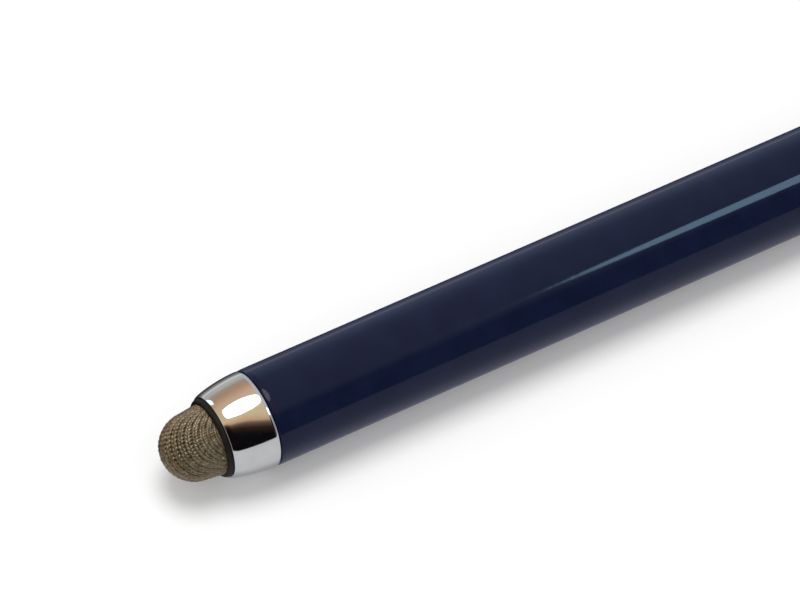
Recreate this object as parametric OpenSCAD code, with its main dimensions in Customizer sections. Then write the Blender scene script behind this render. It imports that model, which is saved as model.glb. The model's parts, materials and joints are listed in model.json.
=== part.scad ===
// Two-ended stylus pen: a knit capacitive tip in a bright nose at one end of a lacquered tube,
// and a ballpoint under a pull-off cap with a spring clip at the other.
// Each piece is drawn round +Z at its own station along the pen, counted from the apex of the tip.
// lay() puts the pen on its side, tip towards -X, with the origin on the axis in mid barrel.

/* [Barrel] */
// Outside diameter of the barrel
barrel_d = 8.5; // [7.5:0.1:10.5]
// Wall of the barrel tube
barrel_wall = 0.6; // [0.5:0.05:0.75]
// Length of the barrel tube
barrel_len = 72; // [66:1:90]
// Rounding on the ends of the tubes and rings
edge_round = 0.2; // [0.1:0.02:0.28]

/* [Nose] */
// Length of the bright nose
nose_len = 4.1; // [3.4:0.1:5]
// How far the nose draws in from the barrel to its front edge
nose_drop = 0.6; // [0.4:0.05:0.75]
// Wall of the nose round the black collar
nose_lip = 0.17; // [0.13:0.01:0.24]

/* [Stylus tip] */
// Length of the knit dome in front of the collar
dome_len = 4.25; // [3.6:0.05:5.2]
// How far the collar stands out of the nose
collar_proud = 0.55; // [0.4:0.05:0.7]
// Depth of the collar in the nose
collar_seat = 1.15; // [1:0.05:1.5]
// Wall of the collar round the hem of the knit
collar_wall = 0.35; // [0.28:0.01:0.42]
// How much the knit widens from the dome to its hem
hem_flare = 0.15; // [0.1:0.01:0.2]
// Thickness of the knit cover
knit_t = 0.35; // [0.28:0.01:0.45]
// Diameter of the stud that screws into the nose
stud_d = 3; // [2.5:0.1:3.6]
// Length of the stud's shank
stud_len = 6; // [5:0.25:7.5]

/* [Ballpoint] */
// Length of the grip section outside the barrel
section_len = 29; // [26:0.5:34]
// Length of its straight part
grip_len = 15; // [12.5:0.5:17]
// Length of its threaded tail
tail_len = 8; // [6:0.5:8.5]
// Diameter of the refill tube
refill_d = 2.35; // [2:0.05:2.7]
// Length of the refill with its point
refill_len = 67; // [56:1:80]
// How far the point stands out of the section
point_reach = 2.6; // [2.2:0.1:3.1]
// Diameter of the ball
ball_d = 1; // [0.84:0.02:1.1]

/* [Cap] */
// How far the cap and the ring next to it stand out past the barrel
cap_step = 0.2; // [0.18:0.02:0.4]
// Wall of the cap tube
cap_wall = 0.45; // [0.38:0.01:0.54]
// Wall of the moulded liner in the cap
liner_wall = 0.42; // [0.35:0.01:0.5]
// Length of the cap's lip ring
lip_len = 2.5; // [2:0.1:3]
// Free room in the cap past the ball
cap_room = 7.4; // [6.8:0.2:14]
// Length of the crown
crown_len = 4; // [3.4:0.1:4.8]

/* [Clip] */
// Length of the clip from the crown
clip_len = 34; // [28:0.5:37]
// Width of the clip at its root
clip_w = 3.2; // [2.6:0.1:3.6]
// Width of the clip at its free end
clip_end_w = 2.4; // [2:0.1:2.6]
// Thickness of the clip
clip_t = 0.7; // [0.58:0.02:0.8]
// Gap under the clip at its root
clip_gap = 1.6; // [1.3:0.1:2]

/* [Hidden] */

// Facets of rounds: of pieces, of the small rounds in a section, and of long shallow arcs
$fn = 96;
corner_fn = 32;
arc_fn = 720;

// Clearances: between pieces that slide or turn, between pieces glued or pressed home,
// and round the foot of the clip
run_gap = 0.03;
seat_gap = 0.02;
foot_gap = 0.16;

// How far a cut runs past the face that it opens, and how far joined shapes run into each other
overrun = 0.5;
lap = 0.02;

// Barrel
barrel_r = barrel_d / 2;
bore_r = barrel_r - barrel_wall;

// Nose and tip, from the outside in
socket_r = barrel_r - nose_drop - nose_lip;
collar_r = socket_r - run_gap;
collar_round = 0.2;
hem_r = collar_r - collar_wall;
hem_inner_r = hem_r - knit_t;
dome_r = hem_r - hem_flare;
core_r = dome_r - knit_t - seat_gap;

// Stud: its head fills the hem, its flange closes the collar and its peg holds the core
stud_r = stud_d / 2;
stud_head_from_collar = 0.35;
stud_flange_t = 0.45;
peg_r = 0.8;
peg_len = 1.3;
seal_cord_r = 0.35;

// Insert in the nose end of the barrel and bush in its other end
insert_wall = 0.9;
insert_len = 7;
bush_len = 9;
bush_wall = 0.9;
bush_spigot_wall = 0.35;
barrel_ring_len = 1.2;

// Section
cap_r = barrel_r + cap_step;
cap_bore_r = cap_r - cap_wall;
liner_r = cap_bore_r - seat_gap;
liner_bore_r = liner_r - liner_wall;
section_gap = 0.15;
section_r = liner_bore_r - section_gap;
section_nose_wall = 0.5;
section_nose_round = 0.35;
tail_r = bore_r - seat_gap - bush_wall - run_gap;
groove_r = 0.22;
groove_pitch = 1.1;
groove_count = 6;
grip_ring_cord_r = 0.4;
grip_ring_from_shoulder = 1.6;
grip_ring_centre_r = liner_bore_r - run_gap - grip_ring_cord_r;

// Refill: its point steps down from the tube to a stem, then tapers to the edge round the ball
refill_r = refill_d / 2;
refill_wall = 0.3;
refill_bore_r = refill_r - refill_wall;
refill_gap = 0.05;
section_bore_r = refill_r + refill_gap;
stem_r = 0.78;
point_collar_len = 1.2;
point_plug_len = 3.5;
point_cone_len = 2;
point_edge_wall = 0.08;
ball_r = ball_d / 2;
ball_gap = 0.015;
ball_edge_share = 0.3;
ink_channel_r = 0.25;
ink_from_tail = 1.5;
section_step_from_nose = 2;
stop_floor = 4;
stop_cup = 3;
stop_lead = 0.5;
stop_vent_r = 0.4;

// Cap
parting_gap = 0.05;
liner_floor = 2.4;
crown_spigot_len = 3.2;
crown_dome_r = 11;
crown_rim_r = 0.6;
screw_r = 0.8;
screw_bite = 1.8;
screw_head_r = 1.6;
screw_head_len = 1;
screw_slot_w = 0.4;
screw_slot_depth = 0.5;

// Clip: radii of its two bends, its kick at the free end and the gap where it nearly touches the cap
clip_bend_r = 0.8;
kick_bend_r = 2;
kick_angle = 22;
kick_len = 3;
touch_gap = 0.12;
foot_r = 2.3;

// Stations along the pen from the apex of the knit tip
s_collar = dome_len;
s_nose = s_collar + collar_proud;
s_socket = s_nose + collar_seat;
s_stud_head = s_collar + stud_head_from_collar;
s_hem = s_socket - stud_flange_t;
s_seal = s_socket + seat_gap + seal_cord_r;
s_insert = s_seal + seal_cord_r + seat_gap;
s_barrel = s_nose + nose_len;
s_barrel_ring = s_barrel + barrel_len;
s_shoulder = s_barrel_ring + barrel_ring_len;
s_taper = s_shoulder + grip_len;
s_section_nose = s_shoulder + section_len;
s_step = s_section_nose - section_step_from_nose;
s_point_plug = s_step - seat_gap - point_collar_len;
s_ball_end = s_section_nose + point_reach;
s_ball = s_ball_end - ball_r;
s_point_edge = s_ball + ball_edge_share * ball_r;
s_tail = s_ball_end - refill_len;
s_grip_ring = s_shoulder + grip_ring_from_shoulder;
s_lip = s_shoulder + parting_gap;
s_cap = s_lip + lip_len;
s_liner_end = s_ball_end + cap_room;
s_liner_back = s_liner_end + liner_floor;
s_crown = s_liner_back + seat_gap + crown_spigot_len;
s_end = s_crown + crown_len;
origin_s = s_barrel + barrel_len / 2;

// The pen lies rolled onto its clip, which stands this far round from straight down, towards -Y
clip_top_r = cap_r + clip_gap + clip_t;
clip_turn = asin(clip_w / 2 / clip_top_r) + acos(cap_r / clip_top_r);

// Centres of the clip's bends, and the slope that makes its arm tangent to both
s_foot = s_crown - foot_gap - clip_t;
bend_at = [clip_top_r - clip_t - clip_bend_r, s_foot - clip_bend_r];
kick_at = [cap_r + touch_gap + clip_t + kick_bend_r, s_crown - clip_len + kick_len];
bend_reach = norm(bend_at - kick_at);
bend_sum = clip_bend_r + clip_t + kick_bend_r;
arm_slope = asin(bend_sum / bend_reach) - atan2(kick_at[0] - bend_at[0], bend_at[1] - kick_at[1]);
arm_len = sqrt(bend_reach * bend_reach - bend_sum * bend_sum);
kick_run = (kick_len - (kick_bend_r + clip_t / 2) * sin(kick_angle)) / cos(kick_angle);

module lay() {
    translate([-origin_s, 0, 0]) rotate([0, 90, 0]) children();
}

module rod(r, s0, s1) {
    translate([0, 0, s0]) cylinder(r = r, h = s1 - s0);
}

// Ring between two radii and two stations, with its outer corners rounded at either end
module ring(r_in, r_out, s0, s1, round0 = 0, round1 = 0) {
    rotate_extrude() {
        translate([r_in, s0 + round0]) square([r_out - r_in, s1 - s0 - round0 - round1]);
        if (round0 > 0) ring_corner(r_in, r_out, s0, round0);
        if (round1 > 0) translate([0, s1]) mirror([0, 1]) ring_corner(r_in, r_out, 0, round1);
    }
}

module ring_corner(r_in, r_out, s0, round) {
    translate([r_in, s0]) square([r_out - round - r_in, 2 * round]);
    intersection() {
        translate([r_out - round, s0]) square([round, 2 * round]);
        translate([r_out - round, s0 + round]) circle(r = round, $fn = corner_fn);
    }
}

// Rubber ring of round cord
module cord_ring(centre_r, cord_r, s) {
    rotate_extrude() translate([centre_r, s]) circle(r = cord_r, $fn = corner_fn);
}

// Half section that runs up from its wide end and draws in along an arc tangent to the axis there.
// Rounds at its ends lie inside the arc and touch it.
module ogive_section(r_wide, drop, run, narrow_round, wide_round = 0) {
    arc_r = (run * run + drop * drop) / (2 * drop);
    arc_x = r_wide - arc_r;
    narrow_y = run - narrow_round;
    narrow_x = arc_x + sqrt(pow(arc_r - narrow_round, 2) - narrow_y * narrow_y);
    wide_x = arc_x + sqrt(pow(arc_r - wide_round, 2) - wide_round * wide_round);
    wide_y = wide_round * arc_r / (arc_r - wide_round);
    intersection() {
        translate([0, wide_y]) square([r_wide, narrow_y * arc_r / (arc_r - narrow_round) - wide_y]);
        translate([arc_x, 0]) circle(r = arc_r, $fn = arc_fn);
    }
    square([narrow_x, run]);
    translate([narrow_x, narrow_y]) circle(r = narrow_round, $fn = corner_fn);
    if (wide_round > 0) {
        square([wide_x, 2 * wide_round]);
        translate([wide_x, wide_round]) circle(r = wide_round, $fn = corner_fn);
    }
}

// Knit dome: a ball about the dome's centre that widens slightly to the hem
module dome_section(ball, hem, s_back) {
    intersection() {
        translate([0, dome_r]) circle(r = ball);
        translate([0, dome_r - ball]) square([ball, ball]);
    }
    polygon([[0, dome_r], [ball, dome_r], [hem, s_collar], [hem, s_back], [0, s_back]]);
}

module tip_cover() {
    color("#8a7d68") lay() rotate_extrude() difference() {
        dome_section(dome_r, hem_r, s_hem);
        dome_section(dome_r - knit_t, hem_inner_r, s_hem + overrun);
    }
}

module tip_core() {
    color("#3a3a3c") lay() difference() {
        rotate_extrude() dome_section(core_r, hem_inner_r - seat_gap, s_stud_head - seat_gap);
        rod(peg_r + seat_gap, s_stud_head - peg_len - seat_gap, s_stud_head + overrun);
    }
}

module tip_collar() {
    color("#141416") lay() ring(hem_r + seat_gap, collar_r, s_collar, s_socket, round0 = collar_round);
}

module tip_stud() {
    color("#c9a250") lay() {
        rod(peg_r, s_stud_head - peg_len, s_socket);
        rod(hem_inner_r - seat_gap, s_stud_head, s_socket);
        rod(hem_r, s_hem + seat_gap, s_socket);
        rod(stud_r - run_gap, s_hem, s_socket + stud_len);
    }
}

module tip_seal() {
    color("#1c1c1e") lay() cord_ring(stud_r - run_gap + seat_gap + seal_cord_r, seal_cord_r, s_seal);
}

module nose_cone() {
    color("#d9dadd") lay() difference() {
        rotate_extrude() translate([0, s_barrel]) mirror([0, 1])
            ogive_section(barrel_r, nose_drop, nose_len, nose_lip - run_gap, edge_round);
        rod(socket_r, s_nose - overrun, s_socket + seat_gap);
        rod(stud_r + insert_wall + seat_gap, s_socket, s_barrel + overrun);
    }
}

module nose_insert() {
    color("#b8923f") lay() difference() {
        union() {
            rod(stud_r + insert_wall, s_insert, s_barrel + insert_len);
            rod(bore_r - seat_gap, s_barrel + seat_gap, s_barrel + insert_len);
        }
        rod(stud_r, s_insert - overrun, s_barrel + insert_len + overrun);
    }
}

module barrel() {
    color("#1e2340") lay() ring(bore_r, barrel_r, s_barrel, s_barrel_ring, edge_round, edge_round);
}

// Cup that takes the tail of the refill, with a lead-in and a vent
module refill_stop() {
    cup_r = refill_r + run_gap;
    s_cup = s_tail - seat_gap;
    s_mouth = s_tail + stop_cup;
    color("#4c4f55") lay() difference() {
        rod(bore_r - seat_gap, s_cup - stop_floor, s_mouth);
        rod(cup_r, s_cup, s_mouth + overrun);
        rod(stop_vent_r, s_cup - stop_floor - overrun, s_mouth);
        translate([0, 0, s_mouth - stop_lead]) cylinder(r1 = cup_r, r2 = cup_r + 2 * stop_lead, h = 2 * stop_lead);
    }
}

module section_bush() {
    tail_bore_r = tail_r + run_gap;
    color("#b8923f") lay() difference() {
        union() {
            rod(bore_r - seat_gap, s_barrel_ring - bush_len, s_barrel_ring);
            rod(tail_bore_r + bush_spigot_wall, s_barrel_ring - bush_wall, s_shoulder - seat_gap);
        }
        rod(tail_bore_r, s_barrel_ring - bush_len - overrun, s_shoulder + overrun);
    }
}

module barrel_ring() {
    ring_bore_r = tail_r + run_gap + bush_spigot_wall + seat_gap;
    color("#d9dadd") lay() ring(ring_bore_r, cap_r, s_barrel_ring, s_shoulder, edge_round, edge_round);
}

// Grip section: threaded tail, groove for the rubber ring, grip grooves and a taper to the point
module grip_section() {
    color("#17181c") lay() difference() {
        union() {
            rod(tail_r, s_shoulder - tail_len, s_taper);
            rod(section_r, s_shoulder + seat_gap, s_taper);
            rotate_extrude() translate([0, s_taper])
                ogive_section(section_r, section_r - refill_r - section_nose_wall, section_len - grip_len,
                    section_nose_round);
        }
        rod(section_bore_r, s_shoulder - tail_len - overrun, s_step);
        rod(stem_r + run_gap, s_step - overrun, s_section_nose + overrun);
        ring(grip_ring_centre_r - grip_ring_cord_r - seat_gap, section_r + overrun,
            s_grip_ring - grip_ring_cord_r - seat_gap, s_grip_ring + grip_ring_cord_r + seat_gap);
        for (i = [1 : groove_count]) cord_ring(section_r, groove_r, s_taper - i * groove_pitch);
    }
}

module grip_ring() {
    color("#1c1c1e") lay() cord_ring(grip_ring_centre_r, grip_ring_cord_r, s_grip_ring);
}

module refill_tube() {
    color("#c3c7cc") lay() ring(refill_bore_r, refill_r, s_tail, s_point_plug);
}

module refill_ink() {
    color("#16204a") lay() rod(refill_bore_r - seat_gap, s_tail + ink_from_tail, s_point_plug - point_plug_len);
}

module refill_point() {
    edge_r = ball_r + ball_gap + point_edge_wall;
    color("#c9a250") lay() difference() {
        union() {
            rod(refill_bore_r - seat_gap, s_point_plug - point_plug_len + seat_gap, s_step);
            rod(refill_r, s_point_plug + seat_gap, s_step - seat_gap);
            rod(stem_r, s_point_plug, s_point_edge - point_cone_len);
            translate([0, 0, s_point_edge - point_cone_len]) cylinder(r1 = stem_r, r2 = edge_r, h = point_cone_len);
        }
        rod(ink_channel_r, s_point_plug - point_plug_len - overrun, s_ball);
        translate([0, 0, s_ball]) sphere(r = ball_r + ball_gap);
    }
}

module refill_ball() {
    color("#8d9096") lay() translate([0, 0, s_ball]) sphere(r = ball_r);
}

module cap_lip() {
    color("#d9dadd") lay() ring(cap_bore_r, cap_r, s_lip, s_cap, edge_round, edge_round);
}

// Slot that the foot of the clip passes through, from its pocket in the crown out past the cap
module foot_slot(s_back) {
    rotate([0, 0, -clip_turn]) translate([foot_r - foot_gap, -clip_w / 2 - foot_gap, s_foot - foot_gap])
        cube([cap_r + overrun - foot_r, clip_w + 2 * foot_gap, s_back - s_foot + foot_gap]);
}

module cap_tube() {
    color("#1e2340") lay() difference() {
        ring(cap_bore_r, cap_r, s_cap, s_crown, edge_round, edge_round);
        foot_slot(s_crown + overrun);
    }
}

module cap_liner() {
    color("#2b2d33") lay() difference() {
        rod(liner_r, s_lip + edge_round, s_liner_back);
        rod(liner_bore_r, s_lip - overrun, s_liner_end);
        rod(screw_head_r + run_gap, s_liner_end - overrun, s_liner_end + screw_head_len + run_gap);
        rod(screw_r + run_gap, s_liner_end, s_liner_back + overrun);
    }
}

// Crown: a domed button with a rounded rim, on a spigot that takes the screw and the clip's foot
module crown() {
    rim_x = cap_r - crown_rim_r;
    rim_y = s_end - crown_dome_r + sqrt(pow(crown_dome_r - crown_rim_r, 2) - rim_x * rim_x);
    color("#d9dadd") lay() difference() {
        union() {
            rotate_extrude() {
                translate([0, rim_y]) intersection() {
                    translate([0, s_end - crown_dome_r - rim_y]) circle(r = crown_dome_r, $fn = arc_fn);
                    square([rim_x * crown_dome_r / (crown_dome_r - crown_rim_r), crown_len]);
                }
                translate([rim_x, rim_y]) circle(r = crown_rim_r, $fn = corner_fn);
            }
            ring(0, cap_r, s_crown, rim_y, edge_round);
            rod(liner_r, s_liner_back + seat_gap, s_crown + edge_round);
        }
        rod(screw_r, s_liner_back - overrun, s_liner_back + seat_gap + screw_bite + run_gap);
        foot_slot(s_crown);
    }
}

module crown_screw() {
    s_head = s_liner_end + run_gap;
    color("#8d9096") lay() difference() {
        union() {
            rod(screw_head_r, s_head, s_head + screw_head_len - run_gap);
            rod(screw_r - seat_gap, s_head, s_liner_back + screw_bite);
        }
        translate([-screw_head_r - overrun, -screw_slot_w / 2, s_head - overrun])
            cube([2 * screw_head_r + 2 * overrun, screw_slot_w, screw_slot_depth + overrun]);
    }
}

// Part of a ring from one angle, over a turn of less than half a circle either way
module ring_sector(r_in, r_out, from, turn) {
    intersection() {
        difference() {
            circle(r = r_out);
            circle(r = r_in);
        }
        polygon([[0, 0], for (share = [0, 0.5, 1]) 2 * r_out * [cos(from + share * turn), sin(from + share * turn)]]);
    }
}

// Bent strip seen from its edge: each step is [straight run, inner bend radius, turn to the left]
module bent_strip(t, steps, i = 0) {
    run = steps[i][0];
    radius = steps[i][1];
    turn = steps[i][2];
    centre = turn > 0 ? t + radius : -radius;
    translate([-lap, 0]) square([run + 2 * lap, t]);
    if (turn != 0) translate([run, centre]) ring_sector(radius, radius + t, turn > 0 ? -90 : 90, turn);
    if (i + 1 < len(steps)) translate([run, centre]) rotate(turn) translate([0, -centre]) bent_strip(t, steps, i + 1);
}

// Clip: a strip bent over from its foot in the crown to nearly touch the cap, then kicked up.
// It tapers to a round end, and its face is curved about the pen's axis.
module clip() {
    s_tip = s_crown - clip_len;
    end_r = clip_end_w / 2;
    color("#d9dadd") lay() rotate([0, 0, -clip_turn]) intersection() {
        translate([0, clip_w / 2, 0]) rotate([90, 0, 0]) linear_extrude(clip_w) translate([foot_r, s_foot])
            bent_strip(clip_t, [
                [bend_at[0] - foot_r, clip_bend_r, -90 - arm_slope],
                [arm_len, kick_bend_r, arm_slope + kick_angle],
                [kick_run, 0, 0]
            ]);
        rotate([90, 0, 90]) linear_extrude(clip_top_r) {
            polygon([
                [-clip_w / 2, s_crown], [-end_r, s_tip + end_r], [end_r, s_tip + end_r], [clip_w / 2, s_crown]
            ]);
            translate([0, s_tip + end_r]) circle(r = end_r);
        }
        rod(clip_top_r, s_tip - overrun, s_crown);
    }
}

tip_cover();
tip_core();
tip_collar();
tip_stud();
tip_seal();
nose_cone();
nose_insert();
barrel();
refill_stop();
section_bush();
barrel_ring();
grip_section();
grip_ring();
refill_tube();
refill_ink();
refill_point();
refill_ball();
cap_lip();
cap_tube();
cap_liner();
crown();
crown_screw();
clip();
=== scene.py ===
import json
import math

import bmesh
import bpy
from mathutils import Matrix, Quaternion, Vector


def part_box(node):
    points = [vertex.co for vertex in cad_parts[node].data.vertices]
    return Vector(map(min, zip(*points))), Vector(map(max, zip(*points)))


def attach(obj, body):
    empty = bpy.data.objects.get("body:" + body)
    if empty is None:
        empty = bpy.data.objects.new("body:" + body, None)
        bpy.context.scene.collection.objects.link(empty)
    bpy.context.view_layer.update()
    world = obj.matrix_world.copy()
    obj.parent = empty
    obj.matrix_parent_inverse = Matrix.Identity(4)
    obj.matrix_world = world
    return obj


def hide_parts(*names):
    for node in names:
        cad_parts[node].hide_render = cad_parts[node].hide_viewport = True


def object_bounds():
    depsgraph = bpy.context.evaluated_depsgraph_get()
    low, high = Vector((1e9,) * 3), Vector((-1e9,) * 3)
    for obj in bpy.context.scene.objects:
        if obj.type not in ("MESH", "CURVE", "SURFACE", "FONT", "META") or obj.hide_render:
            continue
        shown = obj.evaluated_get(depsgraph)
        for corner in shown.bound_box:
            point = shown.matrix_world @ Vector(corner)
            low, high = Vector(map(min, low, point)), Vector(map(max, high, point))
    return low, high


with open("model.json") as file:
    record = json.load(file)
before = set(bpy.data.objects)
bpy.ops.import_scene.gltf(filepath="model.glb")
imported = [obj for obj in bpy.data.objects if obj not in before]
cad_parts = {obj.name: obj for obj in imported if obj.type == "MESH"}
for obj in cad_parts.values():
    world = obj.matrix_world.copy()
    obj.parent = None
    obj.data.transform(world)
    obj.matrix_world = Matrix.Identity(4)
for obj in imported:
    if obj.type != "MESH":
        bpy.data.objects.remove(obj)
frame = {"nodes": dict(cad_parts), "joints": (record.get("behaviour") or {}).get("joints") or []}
cad_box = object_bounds()

# Camera
# A long lens looks down on the stylus end from the tip's side. The pen lies across the frame
# and runs out of it to the right, past the middle of the barrel.
mm = 0.001
image_width = 800
film_width = 36
nearest_seen = 10 * mm
focal_px = 6141.9
camera_azimuth = math.radians(-32.855)
camera_elevation = math.radians(51.416)
camera_roll = math.radians(3.302)
camera_distance = 512.56 * mm
barrel_low, barrel_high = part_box("barrel")
aim_along_barrel, aim_behind = 16.557 * mm, 5.113 * mm
aim = Vector((barrel_low.x + aim_along_barrel, aim_behind, 0))

back = Vector((
    math.sin(camera_azimuth) * math.cos(camera_elevation),
    -math.cos(camera_azimuth) * math.cos(camera_elevation),
    math.sin(camera_elevation),
))
camera_data = bpy.data.cameras.new("camera")
camera_data.sensor_width = film_width
camera_data.lens = focal_px * film_width / image_width
camera_data.clip_start = nearest_seen
camera = bpy.data.objects.new("camera", camera_data)
camera.location = aim + back * camera_distance
camera.rotation_mode = "QUATERNION"
camera.rotation_quaternion = (-back).to_track_quat("-Z", "Y") @ Quaternion((0, 0, 1), camera_roll)
bpy.context.collection.objects.link(camera)
bpy.context.scene.camera = camera
bpy.context.scene.view_settings.view_transform = "Standard"


# Studio
# A white card under the pen, one soft oval lamp overhead, and a room with a warm ceiling and a
# dark side towards the camera. Only the bright metal and the gloss show the room's colours.
def linear(code):
    """Linear colour with alpha from an sRGB hex code."""
    parts = [int(code[i:i + 2], 16) / 255 for i in (0, 2, 4)]
    return tuple(c / 12.92 if c <= 0.04045 else ((c + 0.055) / 1.055) ** 2.4 for c in parts) + (1.0,)


def add(tree, kind, inputs=None, **settings):
    """New node with its settings. Each input is a value, or the socket or node that feeds it."""
    made = tree.nodes.new(kind)
    for name, value in settings.items():
        setattr(made, name, value)
    for name, value in (inputs or {}).items():
        if isinstance(value, bpy.types.Node):
            value = value.outputs[0]
        if isinstance(value, bpy.types.NodeSocket):
            tree.links.new(value, made.inputs[name])
        else:
            made.inputs[name].default_value = value
    return made


def set_stops(ramp, stops):
    """Stops of a colour ramp from (place, hex code) pairs."""
    while len(ramp.color_ramp.elements) < len(stops):
        ramp.color_ramp.elements.new(1)
    for element, (place, code) in zip(ramp.color_ramp.elements, stops):
        element.position = place
        element.color = linear(code)


floor_size = 3000 * mm
floor_z = cad_box[0][2]
card_lift = 0.15
# Bounds of the painted shadow strip on the card behind the pen, seen only in gloss
strip_full_from, strip_full_to = 6 * mm, 12 * mm
strip_start_y, strip_end_y = 2 * mm, 55 * mm
strip_fades_from, strip_fades_to = 60 * mm, 85 * mm
bpy.ops.mesh.primitive_plane_add(size=floor_size, location=(0, 0, floor_z))
floor = bpy.context.object
floor.name = "floor"
card = bpy.data.materials.new("white card, matt")
card.use_nodes = True
tree = card.node_tree
tree.nodes.clear()
path = add(tree, "ShaderNodeLightPath")
# The camera, metal and glass see the card a little brighter than its light makes it. In gloss only, a
# painted shadow lies on it close behind the pen: a dark strip of painted shade, whose painted reflection
# draws the dark line along the pen's top edge
place = add(tree, "ShaderNodeTexCoord")
axes = add(tree, "ShaderNodeSeparateXYZ", {0: place.outputs["Object"]})
strip_start = add(tree, "ShaderNodeMapRange", {
    "Value": axes.outputs["Y"], "From Min": strip_start_y, "From Max": strip_full_from,
})
strip_end = add(tree, "ShaderNodeMapRange", {
    "Value": axes.outputs["Y"], "From Min": strip_full_to, "From Max": strip_end_y,
    "To Min": 1.0, "To Max": 0.0,
})
strip_side = add(tree, "ShaderNodeMapRange", {
    "Value": axes.outputs["X"], "From Min": strip_fades_from, "From Max": strip_fades_to,
    "To Min": 1.0, "To Max": 0.0,
})
# Mask of the painted shadow strip, for glossy rays only; inside it the card's white is swapped for a
# painted dark grey
strip = strip_start
for factor in (strip_end, strip_side, path.outputs["Is Glossy Ray"]):
    strip = add(tree, "ShaderNodeMath", {0: strip, 1: factor}, operation="MULTIPLY")
card_with_painted_shadow = add(tree, "ShaderNodeMix", {
    0: strip, 6: linear("f0f0f0"), 7: linear("343438"),
}, data_type="RGBA")
matt = add(tree, "ShaderNodeBsdfDiffuse", {"Color": card_with_painted_shadow.outputs[2]})
straight = add(tree, "ShaderNodeMath", {
    0: path.outputs["Is Camera Ray"], 1: path.outputs["Is Glossy Ray"],
})
straight = add(tree, "ShaderNodeMath", {0: straight, 1: path.outputs["Is Transmission Ray"]})
straight = add(tree, "ShaderNodeMath", {0: straight, 1: strip}, operation="SUBTRACT", use_clamp=True)
lift = add(tree, "ShaderNodeMath", {0: straight, 1: card_lift}, operation="MULTIPLY")
glow = add(tree, "ShaderNodeEmission", {"Color": (1, 1, 1, 1), "Strength": lift})
both = add(tree, "ShaderNodeAddShader", {0: matt, 1: glow})
add(tree, "ShaderNodeOutputMaterial", {"Surface": both})
floor.data.materials.append(card)

lamp_distance = 600 * mm
lamp_axial, lamp_round = math.radians(1.5), math.radians(97)
lamp_along, lamp_across = math.radians(30.5), math.radians(33)
lamp_watts = 1.8
toward_lamp = Vector((
    math.sin(lamp_axial),
    -math.cos(lamp_round) * math.cos(lamp_axial),
    math.sin(lamp_round) * math.cos(lamp_axial),
))
along_lamp = Vector((0, 1, 0)).cross(toward_lamp).normalized()
lamp_data = bpy.data.lights.new("lamp", "AREA")
lamp_data.shape = "ELLIPSE"
lamp_data.size = 2 * lamp_distance * math.tan(lamp_along / 2)
lamp_data.size_y = 2 * lamp_distance * math.tan(lamp_across / 2)
lamp_data.energy = lamp_watts
lamp = bpy.data.objects.new("lamp", lamp_data)
lamp.location = Vector((barrel_low.x, 0, 0)) + toward_lamp * lamp_distance
lamp.rotation_mode = "QUATERNION"
lamp.rotation_quaternion = Matrix(
    (along_lamp, toward_lamp.cross(along_lamp), toward_lamp)).transposed().to_quaternion()
bpy.context.collection.objects.link(lamp)

# The room is laid out by the angle round the pen's axis, from level on the camera's side (0)
# over the top to level behind (1, half a turn), and by how far a direction leans along it
room = bpy.data.worlds.new("room")
room.use_nodes = True
bpy.context.scene.world = room
tree = room.node_tree
tree.nodes.clear()
place = add(tree, "ShaderNodeTexCoord")
axes = add(tree, "ShaderNodeSeparateXYZ", {0: place.outputs["Generated"]})
near = add(tree, "ShaderNodeMath", {0: axes.outputs["Y"], 1: -1.0}, operation="MULTIPLY")
turn = add(tree, "ShaderNodeMath", {0: axes.outputs["Z"], 1: near}, operation="ARCTAN2")
share = add(tree, "ShaderNodeMath", {0: turn, 1: math.pi}, operation="DIVIDE")


def leaning(start, end):
    """Share from 0 to 1 between two angles of lean towards the cap, in degrees."""
    return add(tree, "ShaderNodeMapRange", {
        "Value": axes.outputs["X"],
        "From Min": math.sin(math.radians(start)), "From Max": math.sin(math.radians(end)),
    }, interpolation_type="SMOOTHSTEP")


# The dark side's upper edge falls towards the cap
edge_fall = 0.37
fall_from, fall_to = 0.3, 0.5
low = add(tree, "ShaderNodeMapRange", {
    "Value": share, "From Min": fall_from, "From Max": fall_to, "To Min": edge_fall, "To Max": 0.0,
})
fall = add(tree, "ShaderNodeMath", {0: axes.outputs["X"], 1: low, 2: share}, operation="MULTIPLY_ADD")
front = add(tree, "ShaderNodeValToRGB", {0: fall})
set_stops(front, [
    (0.0, "0f0f11"), (0.16, "101012"), (0.2, "241c1a"), (0.25, "3c2924"), (0.29, "665347"),
    (0.318, "90745c"), (0.35, "ecc29c"), (0.42, "ffe6b8"), (0.68, "f8d7b6"), (0.743, "eec19d"),
    (0.81, "d3ae90"), (0.883, "c5b09f"), (0.96, "dadad4"),
])
side = add(tree, "ShaderNodeValToRGB", {0: share})
set_stops(side, [
    (0.0, "46484c"), (0.10, "1e1f24"), (0.24, "1e1f24"), (0.32, "d9d3e9"), (0.60, "e5dffd"),
    (0.80, "dce1fd"), (0.90, "e2efff"), (1.0, "ccdeff"),
])
# Both ends of the room are plain, a little brighter towards the ceiling
end_wall = add(tree, "ShaderNodeValToRGB", {0: axes.outputs["Z"]})
set_stops(end_wall, [(0.0, "8a8a8e"), (0.55, "e6e2da"), (1.0, "f0eee8")])
front_to_side, side_to_end, front_to_tip_end = (15.8, 17.8), (24.8, 29.8), (-35, -50)
walls = add(tree, "ShaderNodeMix", {0: leaning(*front_to_side), 6: front, 7: side}, data_type="RGBA")
for start, end in (side_to_end, front_to_tip_end):
    walls = add(tree, "ShaderNodeMix", {
        0: leaning(start, end), 6: walls.outputs[2], 7: end_wall,
    }, data_type="RGBA")


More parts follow.
